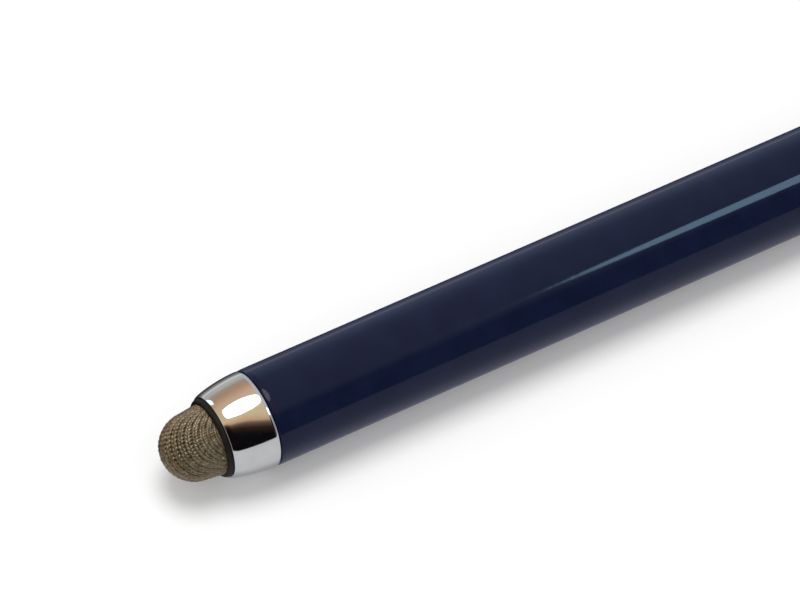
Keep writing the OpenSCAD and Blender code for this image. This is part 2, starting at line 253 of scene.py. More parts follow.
def oval(across, along, soft, level):
    """Light of a level in an oval whose rim is at 1, fading out between the two reaches of soft."""
    reach = add(tree, "ShaderNodeCombineXYZ", {0: across, 1: along})
    reach = add(tree, "ShaderNodeVectorMath", {0: reach}, operation="LENGTH").outputs["Value"]
    return add(tree, "ShaderNodeMapRange", {
        "Value": reach, "From Min": soft[0], "From Max": soft[1], "To Min": level, "To Max": 0.0,
    }, interpolation_type="SMOOTHSTEP")


# A window on the camera's side, far along the pen, that puts a cool streak on the gloss. It is
# a long band with a rounded near end
window_share, window_half = 0.343, 0.0487
window_near, window_full = math.sin(math.radians(21.2)), math.sin(math.radians(24.8))
window_fades = (35, 45)
window_soft, window_level = (0.88, 1.08), 17.0
across = add(tree, "ShaderNodeMath", {0: share, 1: window_share}, operation="SUBTRACT")
across = add(tree, "ShaderNodeMath", {0: across, 1: window_half}, operation="DIVIDE")
along = add(tree, "ShaderNodeMapRange", {
    "Value": axes.outputs["X"], "From Min": 2 * window_near - window_full, "From Max": window_full,
    "To Min": 2.0, "To Max": 0.0,
})
opened = oval(across, along, window_soft, window_level)
# A small window behind, past the tip, for the glint on the nose's front edge
glint_share, glint_half = 0.858, 0.09
glint_lean, glint_reach = 0.28, 0.11
glint_soft, glint_level = (0.6, 1.1), 3.5
across = add(tree, "ShaderNodeMath", {0: share, 1: glint_share}, operation="SUBTRACT")
across = add(tree, "ShaderNodeMath", {0: across, 1: glint_half}, operation="DIVIDE")
along = add(tree, "ShaderNodeMath", {0: axes.outputs["X"], 1: glint_lean})
along = add(tree, "ShaderNodeMath", {0: along, 1: glint_reach}, operation="DIVIDE")
glint = oval(across, along, glint_soft, glint_level)
window_end = add(tree, "ShaderNodeMath", {0: 1.0, 1: leaning(*window_fades)}, operation="SUBTRACT")
daylight = add(tree, "ShaderNodeMath", {0: opened, 1: window_end, 2: glint}, operation="MULTIPLY_ADD")
daylight = add(tree, "ShaderNodeVectorMath", {
    0: linear("b1e0ff")[:3], "Scale": daylight,
}, operation="SCALE")
room_level = 1.2
gloss = add(tree, "ShaderNodeVectorMath", {0: walls.outputs[2], "Scale": room_level}, operation="SCALE")
gloss = add(tree, "ShaderNodeVectorMath", {0: gloss, 1: daylight}, operation="ADD")
# What lights matt surfaces is grey, with one brighter band behind the top for the soft shadow
fill = add(tree, "ShaderNodeValToRGB", {0: share})
set_stops(fill, [
    (0.0, "d7d7d7"), (0.35, "d7d7d7"), (0.40, "bcbcbc"), (0.56, "bcbcbc"), (0.62, "ffffff"),
    (0.68, "bcbcbc"), (1.0, "bcbcbc"),
])
path = add(tree, "ShaderNodeLightPath")
seen = add(tree, "ShaderNodeMix", {
    0: path.outputs["Is Glossy Ray"], 6: fill.outputs[0], 7: gloss.outputs[0],
}, data_type="RGBA")
white = add(tree, "ShaderNodeMix", {
    0: path.outputs["Is Camera Ray"], 6: seen.outputs[2], 7: (1, 1, 1, 1),
}, data_type="RGBA")
sky = add(tree, "ShaderNodeBackground", {"Color": white.outputs[2]})
add(tree, "ShaderNodeOutputWorld", {"Surface": sky})


# Barrel
# A straight drawn brass tube with rolled-over ends, sprayed navy and baked under a clear
# gloss coat. The nose's insert and the section's bush are pressed into its two ends.
def rounded(corners):
    """Points of a closed outline of (x, radius, rounding) corners, with arcs at the rounded ones."""
    points = []
    steps = 6
    guard_share = 0.3
    for i, (x, r, rounding) in enumerate(corners):
        here = Vector((x, r))
        if rounding == 0:
            points.append(here)
            continue
        to_last = (Vector(corners[i - 1][:2]) - here).normalized()
        to_next = (Vector(corners[(i + 1) % len(corners)][:2]) - here).normalized()
        half = to_last.angle(to_next) / 2
        centre = here + (to_last + to_next).normalized() * rounding / math.sin(half)
        first = here + to_last * rounding / math.tan(half) - centre
        last = here + to_next * rounding / math.tan(half) - centre
        # A ring just short of each arc keeps the straight run's shading straight
        points.append(centre + first + to_last * rounding * guard_share)
        for step in range(steps + 1):
            share = step / steps
            points.append(centre + (first * (1 - share) + last * share).normalized() * rounding)
        points.append(centre + last + to_next * rounding * guard_share)
    return points


def turned(name, outline, sides=160, shape=None, more_angles=()):
    """Object turned about the pen's axis from a closed outline of (x, radius) points. A shape
    function moves a point at (x, radius, angle) to another (x, radius)."""
    angles = [math.tau * side / sides for side in range(sides)]
    angles = sorted(angles + [angle % math.tau for angle in more_angles])
    count = len(angles)
    vertices, rings = [], []
    for x, r in outline:
        if r <= 0:
            rings.append([len(vertices)] * count)
            vertices.append((x, 0, 0))
            continue
        rings.append(list(range(len(vertices), len(vertices) + count)))
        for angle in angles:
            at_x, at_r = shape(x, r, angle) if shape else (x, r)
            vertices.append((at_x, at_r * math.cos(angle), at_r * math.sin(angle)))
    faces = []
    for ring, after in zip(rings, rings[1:] + rings[:1]):
        for side in range(count):
            other = (side + 1) % count
            face = [ring[side], ring[other], after[other], after[side]]
            face = [v for k, v in enumerate(face) if v != face[k - 1]]
            if len(face) > 2:
                faces.append(face)
    mesh = bpy.data.meshes.new(name)
    mesh.from_pydata(vertices, [], faces)
    return finished(name, mesh)


# Points closer together than this are one
weld = 0.0001 * mm


def finished(name, mesh, sharp=35):
    """Object of a closed mesh, with its faces outwards and its rounds shaded smooth."""
    work = bmesh.new()
    work.from_mesh(mesh)
    bmesh.ops.remove_doubles(work, verts=work.verts, dist=weld)
    bmesh.ops.recalc_face_normals(work, faces=work.faces)
    work.to_mesh(mesh)
    work.free()
    mesh.shade_smooth()
    mesh.set_sharp_from_angle(angle=math.radians(sharp))
    piece = bpy.data.objects.new(name, mesh)
    bpy.context.collection.objects.link(piece)
    return piece


def surfaced(name, dark, light, patch, rough, grain, depth, normal="Normal", **sockets):
    """Material that varies between two colours over patches and between two roughnesses over its
    grain, which also stands up by a depth. A grain is (along the pen, across it), in metres."""
    patch_spread, grain_spread = (0.35, 0.65), (0.3, 0.7)
    made = bpy.data.materials.new(name)
    made.use_nodes = True
    tree = made.node_tree
    shader = tree.nodes["Principled BSDF"]
    for socket, value in sockets.items():
        shader.inputs[socket.replace("_", " ")].default_value = value
    place = add(tree, "ShaderNodeTexCoord")
    cloud = add(tree, "ShaderNodeTexNoise", {
        "Vector": place.outputs["Object"], "Scale": 1 / patch, "Detail": 3.0,
    })
    colours = add(tree, "ShaderNodeValToRGB", {0: cloud})
    set_stops(colours, [(patch_spread[0], dark), (patch_spread[1], light)])
    laid = add(tree, "ShaderNodeMapping", {
        "Vector": place.outputs["Object"], "Scale": (1 / grain[0], 1 / grain[1], 1 / grain[1]),
    })
    grains = add(tree, "ShaderNodeTexNoise", {"Vector": laid, "Scale": 1.0, "Detail": 2.0})
    dull = add(tree, "ShaderNodeMapRange", {
        "Value": grains, "From Min": grain_spread[0], "From Max": grain_spread[1],
        "To Min": rough[0], "To Max": rough[1],
    })
    raised = add(tree, "ShaderNodeBump", {"Height": grains, "Strength": 1.0, "Distance": depth})
    tree.links.new(colours.outputs[0], shader.inputs["Base Color"])
    tree.links.new(dull.outputs[0], shader.inputs["Roughness"])
    tree.links.new(raised.outputs[0], shader.inputs[normal])
    return made


def dress(piece, finish, body, slot, *nodes):
    """Gives a piece its material, its body and the CAD nodes it replaces. The slot is not used."""
    piece.data.materials.append(finish)
    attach(piece, body)
    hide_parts(*nodes)


seat_gap = 0.02 * mm
run_gap = 0.03 * mm
barrel_r = barrel_high.z
bore_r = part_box("refill_stop")[1].z + seat_gap
edge = 0.2 * mm
burr = 0.08 * mm
end_round, end_fall, end_run, end_steps = 0.1 * mm, 0.03 * mm, 0.35 * mm, 10

# Baked lacquer: a deep navy that is nearly black in shade, under a thin clear coat with a trace
# of orange peel, so that what it mirrors is dim with slightly soft edges. A faint blue haze from
# the pigment lies over it where it turns away
lacquer = surfaced(
    "navy stoving lacquer under clear gloss, on brass tube", dark="10162b", light="131a31",
    patch=2.4 * mm, rough=(0.38, 0.44), grain=(0.9 * mm, 0.9 * mm), depth=0.0008 * mm,
    normal="Coat Normal", Coat_Weight=1.0, Coat_Roughness=0.04, Coat_IOR=1.21, Specular_IOR_Level=0.0,
    Sheen_Weight=0.1, Sheen_Roughness=0.5, Sheen_Tint=(0.05, 0.15, 1.0, 1.0))

# The lacquer draws back a little over the last of the tube, so that both ends fall away
front_end, back_end = [
    [(x + way * (end_round + end_run * step / end_steps),
      barrel_r - end_fall * (1 - min(step / end_steps, 1)) ** 2, 0)
     for step in range(1, end_steps + 3)]
    for x, way in ((barrel_low.x, 1), (barrel_high.x, -1))]
barrel = turned("barrel_tube", rounded([
    (barrel_low.x, bore_r, burr), (barrel_high.x, bore_r, burr),
    (barrel_high.x, barrel_r - end_fall, end_round),
] + back_end + front_end[::-1] + [(barrel_low.x, barrel_r - end_fall, end_round)]))
dress(barrel, lacquer, "barrel", "navy_lacquer", "barrel")


# Nose
# A turned brass shell, polished and chromed, that draws in along a long arc to a thin lip. Its
# front is bored out for the collar, and it is held by a brass insert threaded for the tip.
nose_low, nose_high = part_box("nose_cone")
collar_low, collar_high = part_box("tip_collar")
insert_low, insert_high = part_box("nose_insert")
nose_len = nose_high.x - nose_low.x
nose_drop = 0.6 * mm
nose_front_round, nose_inner_round, nose_back_round = 0.05 * mm, 0.02 * mm, 0.3 * mm
shoulder_run, shoulder_fall = 0.5 * mm, 0.06 * mm
nose_arc_r = (nose_len ** 2 + nose_drop ** 2) / (2 * nose_drop)
arc_start, arc_short, arc_steps = 0.45 * mm, 0.55 * mm, 40
socket_r = collar_high.z + run_gap
stud_r = 1.5 * mm
insert_neck_wall = 0.9 * mm
insert_neck_r = stud_r + insert_neck_wall
tip_pitch = 0.5 * mm
thread_depth = 0.28 * mm
press_chamfer, small_chamfer = 0.2 * mm, 0.15 * mm
front_lead, back_lead, press_lead = 0.25 * mm, 0.3 * mm, 0.25 * mm
thread_from, thread_to = insert_low.x + front_lead, insert_high.x - back_lead

# Bright chrome over polished brass: a mirror with the faintest haze and waves from polishing
chrome = surfaced(
    "bright chrome plate on polished brass", dark="b0b1b3", light="b5b6b8", patch=1.5 * mm,
    rough=(0.045, 0.075), grain=(0.7 * mm, 0.4 * mm), depth=0.00025 * mm, Metallic=1.0)
# Turned brass, left bare: a warm metal with fine rings from the tool
brass = surfaced(
    "free-cutting brass, turned", dark="b8903f", light="cda453", patch=1.1 * mm,
    rough=(0.2, 0.36), grain=(0.07 * mm, 20 * mm), depth=0.003 * mm, Metallic=1.0)


def threaded(start, end, pitch, depth, inward=False):
    """Outline shape that cuts a V thread of a depth into a wall, fading in and out at its ends."""
    steepness = 1.15

    def shape(x, r, angle):
        if not start < x < end:
            return x, r
        turn = ((x - start) / pitch - angle / math.tau) % 1
        fade = min(1, (x - start) / pitch, (end - x) / pitch)
        cut = depth * fade * (1 - abs(2 * turn - 1) * steepness)
        return x, r + max(0, cut) * (1 if inward else -1)
    return shape


def thread_run(start, end, r, pitch):
    """Points along a threaded wall, close enough together for its turns."""
    points_a_turn = 8
    count = round(abs(end - start) / pitch * points_a_turn)
    return [(start + (end - start) * step / count, r) for step in range(count + 1)]


arc = []
for step in range(arc_steps + 1):
    run = arc_start + (nose_len - arc_short) * step / arc_steps
    soft = shoulder_fall * max(0, (run - nose_len + shoulder_run) / shoulder_run) ** 2
    arc.append((nose_high.x - run, barrel_r - nose_arc_r + math.sqrt(nose_arc_r ** 2 - run ** 2) - soft, 0))
nose = turned("nose_shell", rounded(
    [(nose_high.x, insert_neck_r + seat_gap, burr), (nose_high.x, barrel_r, nose_back_round)] + arc + [
        (nose_low.x, barrel_r - nose_drop - shoulder_fall, nose_front_round),
        (nose_low.x, socket_r, nose_inner_round), (collar_high.x + seat_gap, socket_r, burr),
        (collar_high.x + seat_gap, insert_neck_r + seat_gap, burr),
    ]), sides=200)
dress(nose, chrome, "barrel", "bright_chrome", "nose_cone")

insert = turned("nose_insert_brass", [
    (insert_high.x, stud_r + back_lead), (insert_high.x, bore_r - seat_gap - press_chamfer),
    (insert_high.x - press_chamfer, bore_r - seat_gap), (barrel_low.x + press_lead, bore_r - seat_gap),
    (barrel_low.x + seat_gap, bore_r - seat_gap - press_chamfer),
    (barrel_low.x + seat_gap, insert_neck_r), (insert_low.x + small_chamfer, insert_neck_r),
    (insert_low.x, insert_neck_r - small_chamfer), (insert_low.x, stud_r + front_lead),
] + thread_run(thread_from, thread_to, stud_r, tip_pitch), sides=72,
    shape=threaded(thread_from, thread_to, tip_pitch, thread_depth, inward=True))
dress(insert, brass, "barrel", "brass", "nose_insert")


# Stylus tip
# A brass stud carries a black moulded collar and a soft core, and screws into the nose on a
# rubber ring. The knit of plated yarn is pulled over the core, its hem trapped in the collar.
stud_low, stud_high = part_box("tip_stud")
cover_low, cover_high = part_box("tip_cover")
core_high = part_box("tip_core")[1]
seal_low, seal_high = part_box("tip_seal")
dome_r = 2.95 * mm
hem_flare = 0.15 * mm
collar_inner_r = cover_high.z + seat_gap
collar_setback = 0.12 * mm
collar_front_x = collar_low.x + collar_setback
collar_hem_round, collar_front_round, collar_back_round = 0.03 * mm, 0.27 * mm, 0.05 * mm
flange_x = cover_high.x + seat_gap
head_x = core_high.x + seat_gap
head_r = core_high.z
peg_r, peg_chamfer = 0.8 * mm, 0.1 * mm
shank_r = stud_r - run_gap
undercut_len, first_turn, last_turn = 0.5 * mm, 0.7 * mm, 0.1 * mm
undercut_to = collar_high.x + undercut_len
thread_from, thread_to = collar_high.x + first_turn, stud_high.x - last_turn
run_in, stud_run_out, stud_end_drop = 0.05 * mm, 0.15 * mm, 0.35 * mm

# Black acetal, moulded: near black with a dull, faintly pebbled skin
moulded = surfaced(
    "black acetal, moulded", dark="14110e", light="1b1713", patch=0.8 * mm,
    rough=(0.45, 0.6), grain=(0.12 * mm, 0.12 * mm), depth=0.0015 * mm, Specular_IOR_Level=0.12)
# Nitrile rubber: black, with a soft bloom and no clear reflection
rubber = surfaced(
    "nitrile rubber, moulded", dark="141414", light="1e1e1f", patch=0.6 * mm,
    rough=(0.5, 0.7), grain=(0.08 * mm, 0.08 * mm), depth=0.003 * mm)
# Carbon-filled silicone foam: a dusty brown grey and quite matt, with fine open pores, so the
# gaps between the stitches show soft and dark
foam = surfaced(
    "carbon-filled silicone foam", dark="504636", light="645846", patch=0.25 * mm,
    rough=(0.8, 0.95), grain=(0.1 * mm, 0.1 * mm), depth=0.02 * mm)

collar = turned("tip_collar_ring", rounded([
    (collar_front_x, collar_inner_r, collar_hem_round), (collar_front_x, collar_high.z, collar_front_round),
    (collar_high.x, collar_high.z, collar_back_round), (collar_high.x, collar_inner_r, collar_back_round),
]))
dress(collar, moulded, "tip", "black_plastic", "tip_collar")

stud = turned("tip_stud_brass", [
    (stud_low.x, 0), (stud_low.x, peg_r - peg_chamfer), (stud_low.x + peg_chamfer, peg_r),
    (head_x, peg_r), (head_x, head_r - peg_chamfer), (head_x + peg_chamfer, head_r), (flange_x, head_r),
    (flange_x, cover_high.z), (collar_high.x, cover_high.z), (collar_high.x, shank_r - thread_depth),
    (undercut_to, shank_r - thread_depth), (thread_from, shank_r),
] + thread_run(thread_from + run_in, thread_to - stud_run_out, shank_r, tip_pitch) + [
    (stud_high.x, stud_r - stud_end_drop), (stud_high.x, 0),
], sides=72, shape=threaded(thread_from, thread_to, tip_pitch, thread_depth))
dress(stud, brass, "tip", "brass", "tip_stud")


def cord_outline(low, high):
    """Outline of a ring of round cord that fills a node's box."""
    steps = 20
    cord_r = (high.x - low.x) / 2
    return [(low.x + cord_r * (1 - math.cos(math.tau * k / steps)),
             high.z - cord_r * (1 - math.sin(math.tau * k / steps))) for k in range(steps)]


seal = turned("tip_seal_ring", cord_outline(seal_low, seal_high), sides=72)
dress(seal, rubber, "tip", "seal_rubber", "tip_seal")

core_r = core_high.z - hem_flare
dome_centre = cover_low.x + dome_r
core_steps = 16
quarter = [math.pi / 2 * k / core_steps for k in range(core_steps + 1)]
core = turned("tip_core_foam", [
    (dome_centre - core_r * math.cos(angle), core_r * math.sin(angle)) for angle in quarter
] + [(collar_low.x, core_high.z), (core_high.x, core_high.z), (core_high.x, peg_r + seat_gap),
     (stud_low.x - seat_gap, peg_r + seat_gap), (stud_low.x - seat_gap, 0)], sides=72)
dress(core, foam, "tip", "tip_foam", "tip_core")

# Silver-plated nylon yarn, tarnished to a grey brown: each loop catches the light along its legs.
# Real filaments are finer than the render can show, so the fibre grain is drawn at 0.05 mm
yarn = surfaced(
    "plated nylon yarn, knitted", dark="594c3a", light="81745c", patch=0.35 * mm,
    rough=(0.28, 0.46), grain=(0.05 * mm, 0.05 * mm), depth=0.004 * mm, Metallic=0.72)

yarn_inset = 0.205 * mm
knit_sizes = {
    "Wale Width": 0.62 * mm, "Course Height": 0.38 * mm, "Yarn Radius": 0.15 * mm,
    "Loop Sway": 0.10 * mm, "Leg Gather": 0.04 * mm, "Loop Lift": 0.27 * mm, "Loop Depth": 0.06 * mm,
    "Dome Radius": dome_r - yarn_inset, "Dome Centre": dome_centre,
    "Widening": hem_flare / (collar_low.x - cover_low.x - dome_r),
    "Reach": 6.1 * mm, "Wales Turned": math.radians(56), "Unevenness": 0.08 * mm,
}
knit_counts = {"Wales": 20, "Courses": 33, "Points in a Loop": 14}
knit = bpy.data.node_groups.new("jersey knit drawn over a dome", "GeometryNodeTree")
for name in knit_sizes:
    knit.interface.new_socket(name, in_out="INPUT", socket_type="NodeSocketFloat")
for name in knit_counts:
    knit.interface.new_socket(name, in_out="INPUT", socket_type="NodeSocketInt")
knit.interface.new_socket("Geometry", in_out="OUTPUT", socket_type="NodeSocketGeometry")
size = add(knit, "NodeGroupInput").outputs

# One course of yarn as a straight run of points, and one copy of it for each course
step = add(knit, "ShaderNodeMath", {0: size["Wale Width"], 1: size["Points in a Loop"]}, operation="DIVIDE")
points = add(knit, "ShaderNodeMath", {0: size["Wales"], 1: size["Points in a Loop"]}, operation="MULTIPLY")
half_run = add(knit, "ShaderNodeMath", {0: points, 1: step}, operation="MULTIPLY")
half_run = add(knit, "ShaderNodeMath", {0: half_run, 1: -0.5}, operation="MULTIPLY")
run_start = add(knit, "ShaderNodeCombineXYZ", {0: half_run})
run_step = add(knit, "ShaderNodeCombineXYZ", {0: step})
run = add(knit, "GeometryNodeMeshLine", {"Count": points, "Start Location": run_start, "Offset": run_step})
course = add(knit, "GeometryNodeMeshToCurve", {"Mesh": run})
half_rows = add(knit, "ShaderNodeMath", {0: size["Courses"], 1: -0.5, 2: 0.5}, operation="MULTIPLY_ADD")
half_rows = add(knit, "ShaderNodeMath", {0: half_rows, 1: size["Course Height"]}, operation="MULTIPLY")
rows_start = add(knit, "ShaderNodeCombineXYZ", {1: half_rows})
rows_step = add(knit, "ShaderNodeCombineXYZ", {1: size["Course Height"]})
rows = add(knit, "GeometryNodeMeshLine", {
    "Count": size["Courses"], "Start Location": rows_start, "Offset": rows_step,
})
laid = add(knit, "GeometryNodeInstanceOnPoints", {"Points": rows, "Instance": course})
flat = add(knit, "GeometryNodeRealizeInstances", {0: laid})

# The loops: each course sways along its run, rises and falls across it, and dips under the next
at = add(knit, "ShaderNodeSeparateXYZ", {0: add(knit, "GeometryNodeInputPosition")})
phase = add(knit, "ShaderNodeMath", {0: at.outputs[0], 1: size["Wale Width"]}, operation="DIVIDE")
phase = add(knit, "ShaderNodeMath", {0: phase, 1: math.tau}, operation="MULTIPLY")
twice = add(knit, "ShaderNodeMath", {0: phase, 1: 2.0}, operation="MULTIPLY")
sway = add(knit, "ShaderNodeMath", {0: twice}, operation="SINE")
sway = add(knit, "ShaderNodeMath", {
    0: sway, 1: size["Loop Sway"], 2: at.outputs[0],
}, operation="MULTIPLY_ADD")
gather = add(knit, "ShaderNodeMath", {0: phase}, operation="SINE")
gather = add(knit, "ShaderNodeMath", {0: gather, 1: size["Leg Gather"]}, operation="MULTIPLY")
sway = add(knit, "ShaderNodeMath", {0: sway, 1: gather}, operation="SUBTRACT")
rise = add(knit, "ShaderNodeMath", {0: phase}, operation="COSINE")
rise = add(knit, "ShaderNodeMath", {
    0: rise, 1: size["Loop Lift"], 2: at.outputs[1],
}, operation="MULTIPLY_ADD")
dip = add(knit, "ShaderNodeMath", {0: twice}, operation="COSINE")
dip = add(knit, "ShaderNodeMath", {0: dip, 1: size["Loop Depth"]}, operation="MULTIPLY")
where = add(knit, "ShaderNodeCombineXYZ", {0: at.outputs[0], 1: at.outputs[1]})
drift_size = 1.3 * mm
drift = add(knit, "ShaderNodeTexNoise", {"Vector": where, "Scale": 1 / drift_size, "Detail": 1.0})
drift = add(knit, "ShaderNodeVectorMath", {
    0: drift.outputs["Color"], 1: (0.5, 0.5, 0.5),
}, operation="SUBTRACT")
drift = add(knit, "ShaderNodeVectorMath", {0: drift, "Scale": size["Unevenness"]}, operation="SCALE")
loops = add(knit, "ShaderNodeCombineXYZ", {0: sway, 1: rise})
loops = add(knit, "ShaderNodeVectorMath", {0: loops, 1: drift}, operation="ADD")
spread = add(knit, "ShaderNodeSeparateXYZ", {0: loops})

# The flat knit is drawn over the dome: distance from the middle becomes distance from the apex
far = add(knit, "ShaderNodeVectorMath", {0: loops, 1: (1, 1, 0)}, operation="MULTIPLY")
far = add(knit, "ShaderNodeVectorMath", {0: far}, operation="LENGTH").outputs["Value"]
angle = add(knit, "ShaderNodeMath", {0: spread.outputs[1], 1: spread.outputs[0]}, operation="ARCTAN2")
angle = add(knit, "ShaderNodeMath", {0: angle, 1: size["Wales Turned"]}, operation="ADD")
bend = add(knit, "ShaderNodeMath", {0: far, 1: size["Dome Radius"]}, operation="DIVIDE")
bend = add(knit, "ShaderNodeMath", {0: bend, 1: math.pi / 2}, operation="MINIMUM")
bent = add(knit, "ShaderNodeMath", {0: bend, 1: size["Dome Radius"]}, operation="MULTIPLY")
past = add(knit, "ShaderNodeMath", {0: far, 1: bent}, operation="SUBTRACT")
from_centre = add(knit, "ShaderNodeMath", {0: size["Dome Radius"], 1: dip}, operation="SUBTRACT")
level = add(knit, "ShaderNodeMath", {0: bend}, operation="COSINE")
level = add(knit, "ShaderNodeMath", {0: level, 1: from_centre}, operation="MULTIPLY")
level = add(knit, "ShaderNodeMath", {0: past, 1: level}, operation="SUBTRACT")
level = add(knit, "ShaderNodeMath", {0: level, 1: size["Dome Centre"]}, operation="ADD")
reach = add(knit, "ShaderNodeMath", {0: bend}, operation="SINE")
reach = add(knit, "ShaderNodeMath", {0: reach, 1: from_centre}, operation="MULTIPLY")
reach = add(knit, "ShaderNodeMath", {0: past, 1: size["Widening"], 2: reach}, operation="MULTIPLY_ADD")
over = add(knit, "ShaderNodeMath", {0: angle}, operation="COSINE")
over = add(knit, "ShaderNodeMath", {0: over, 1: reach}, operation="MULTIPLY")
over = add(knit, "ShaderNodeMath", {0: over, 1: -1.0}, operation="MULTIPLY")
up = add(knit, "ShaderNodeMath", {0: angle}, operation="SINE")
up = add(knit, "ShaderNodeMath", {0: up, 1: reach}, operation="MULTIPLY")
on_dome = add(knit, "ShaderNodeCombineXYZ", {0: level, 1: over, 2: up})
outside = add(knit, "ShaderNodeMath", {0: far, 1: size["Reach"]}, operation="GREATER_THAN")
trimmed = add(knit, "GeometryNodeDeleteGeometry", {"Geometry": flat, "Selection": outside})
draped = add(knit, "GeometryNodeSetPosition", {"Geometry": trimmed, "Position": on_dome})
round_yarn = add(knit, "GeometryNodeCurvePrimitiveCircle", {
    "Resolution": 6, "Radius": size["Yarn Radius"],
})
tube = add(knit, "GeometryNodeCurveToMesh", {
    "Curve": draped, "Profile Curve": round_yarn, "Fill Caps": True,
})
whole = add(knit, "GeometryNodeRealizeInstances", {0: tube})
coloured = add(knit, "GeometryNodeSetMaterial", {"Geometry": whole, "Material": yarn})
add(knit, "NodeGroupOutput", {0: coloured})

loom = bpy.data.objects.new("loom", bpy.data.meshes.new("loom"))
bpy.context.collection.objects.link(loom)
knitting = loom.modifiers.new("knitting", "NODES")
knitting.node_group = knit
for item in knit.interface.items_tree:
    if item.in_out == "INPUT":
        knitting[item.identifier] = (knit_sizes | knit_counts)[item.name]
knitted = bpy.data.meshes.new_from_object(loom.evaluated_get(bpy.context.evaluated_depsgraph_get()))
bpy.data.objects.remove(loom)
cover = finished("tip_knit_cover", knitted, sharp=80)
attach(cover, "tip")
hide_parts("tip_cover")


# Bush, ring and stop
# A threaded brass bush closes the barrel's other end and carries a chromed ring. Deep inside,
# a moulded cup steadies the tail of the refill.
bush_low, bush_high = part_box("section_bush")
ring_low, ring_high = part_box("barrel_ring")
stop_low, stop_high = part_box("refill_stop")
cap_r = ring_high.z
tail_r = 2.7 * mm
spigot_wall = 0.35 * mm
spigot_r = tail_r + run_gap + spigot_wall
spigot_chamfer, ring_round = 0.05 * mm, 0.05 * mm
section_pitch = 0.6 * mm
bush_lead, bush_plain_len = 0.3 * mm, 1.3 * mm
bush_back_wide, mouth_wide, mouth_deep = 0.35 * mm, 0.1 * mm, 0.3 * mm
thread_from, thread_to = bush_low.x + bush_lead, bush_high.x - bush_plain_len
refill_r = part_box("refill_tube")[1].z

bush = turned("section_bush_brass", [
    (bush_low.x, tail_r + bush_back_wide), (bush_low.x, bore_r - seat_gap - press_chamfer),
    (bush_low.x + press_chamfer, bore_r - seat_gap), (barrel_high.x, bore_r - seat_gap),
    (barrel_high.x, spigot_r), (bush_high.x - spigot_chamfer, spigot_r),
    (bush_high.x, spigot_r - spigot_chamfer), (bush_high.x, tail_r + mouth_wide),
    (bush_high.x - mouth_deep, tail_r + run_gap),
] + thread_run(thread_to, thread_from + run_in, tail_r + run_gap, section_pitch), sides=80,
    shape=threaded(thread_from, thread_to, section_pitch, thread_depth, inward=True))
dress(bush, brass, "barrel", "brass", "section_bush")

ring = turned("barrel_ring_chrome", rounded([
    (ring_low.x, spigot_r + seat_gap, ring_round), (ring_high.x, spigot_r + seat_gap, ring_round),
    (ring_high.x, cap_r, edge), (ring_low.x, cap_r, edge),
]))
dress(ring, chrome, "barrel", "bright_chrome", "barrel_ring")

stop_cup_r = refill_r + run_gap
stop_floor_deep = 4 * mm
stop_floor = stop_low.x + stop_floor_deep
vent_r = 0.4 * mm
lead_wide, lead_deep = 0.95 * mm, 0.48 * mm
fine_round, soft_round, back_round = 0.05 * mm, 0.1 * mm, 0.3 * mm
stop = turned("refill_stop_cup", rounded([
    (stop_low.x, vent_r, fine_round), (stop_low.x, stop_high.z, back_round),
    (stop_high.x, stop_high.z, soft_round), (stop_high.x, stop_cup_r + lead_wide, fine_round),
    (stop_high.x - lead_deep, stop_cup_r, 0), (stop_floor, stop_cup_r, soft_round),
    (stop_floor, vent_r, fine_round),
]), sides=96)
dress(stop, moulded, "barrel", "black_plastic", "refill_stop")


# Grip section
# A turned brass section sprayed satin black, with a threaded tail, six turned grip grooves and
# a long taper to the point. A rubber ring in a groove at its root holds the cap.
section_low, section_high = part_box("grip_section")
grip_ring_low, grip_ring_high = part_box("grip_ring")
shoulder_x = bush_high.x + seat_gap
section_r = section_high.z
grip_len, nose_wall = 15 * mm, 0.5 * mm
taper_x = shoulder_x + grip_len
taper_len = section_high.x - taper_x
taper_drop = section_r - (refill_r + nose_wall)
taper_arc_r = (taper_len ** 2 + taper_drop ** 2) / (2 * taper_drop)
groove_from, groove_to = grip_ring_low.x - seat_gap, grip_ring_high.x + seat_gap
groove_deep = 0.82 * mm
groove_floor = grip_ring_high.z - groove_deep
groove_r, groove_pitch, groove_count, groove_steps = 0.22 * mm, 1.1 * mm, 6, 8
step_deep, refill_gap = 2 * mm, 0.05 * mm
step_x = section_high.x - step_deep
stem_r = 0.78 * mm
section_bore_r = refill_r + refill_gap
tail_chamfer, tail_drop, relief_len, plain_len = 0.25 * mm, 0.3 * mm, 0.9 * mm, 1.2 * mm
relief_x = shoulder_x - relief_len
section_run_out = 0.2 * mm
shoulder_round, shoulder_bend, fine_edge = 0.15 * mm, 0.04 * mm, 0.05 * mm
mouth_chamfer = 0.1 * mm
nose_round = 0.35 * mm

# Satin black over brass: a soft even sheen, slightly rubbed
satin = surfaced(
    "satin black lacquer on brass", dark="0c0d10", light="15161a", patch=1.8 * mm,
    rough=(0.32, 0.42), grain=(0.25 * mm, 0.25 * mm), depth=0.001 * mm,
    Coat_Weight=0.35, Coat_Roughness=0.25)

# Tail with its thread, a plain relief and the shoulder
thread_from, thread_to = section_low.x + tail_chamfer, shoulder_x - plain_len
outline = [(section_low.x, section_bore_r), (section_low.x, tail_r - tail_drop), (thread_from, tail_r)]
outline += thread_run(thread_from + run_in, thread_to - section_run_out, tail_r, section_pitch)
outline += [(relief_x, tail_r), (shoulder_x, tail_r)]
outline += [(shoulder_x, section_r - shoulder_round), (shoulder_x + fine_edge, section_r - shoulder_bend),
            (shoulder_x + shoulder_round, section_r)]
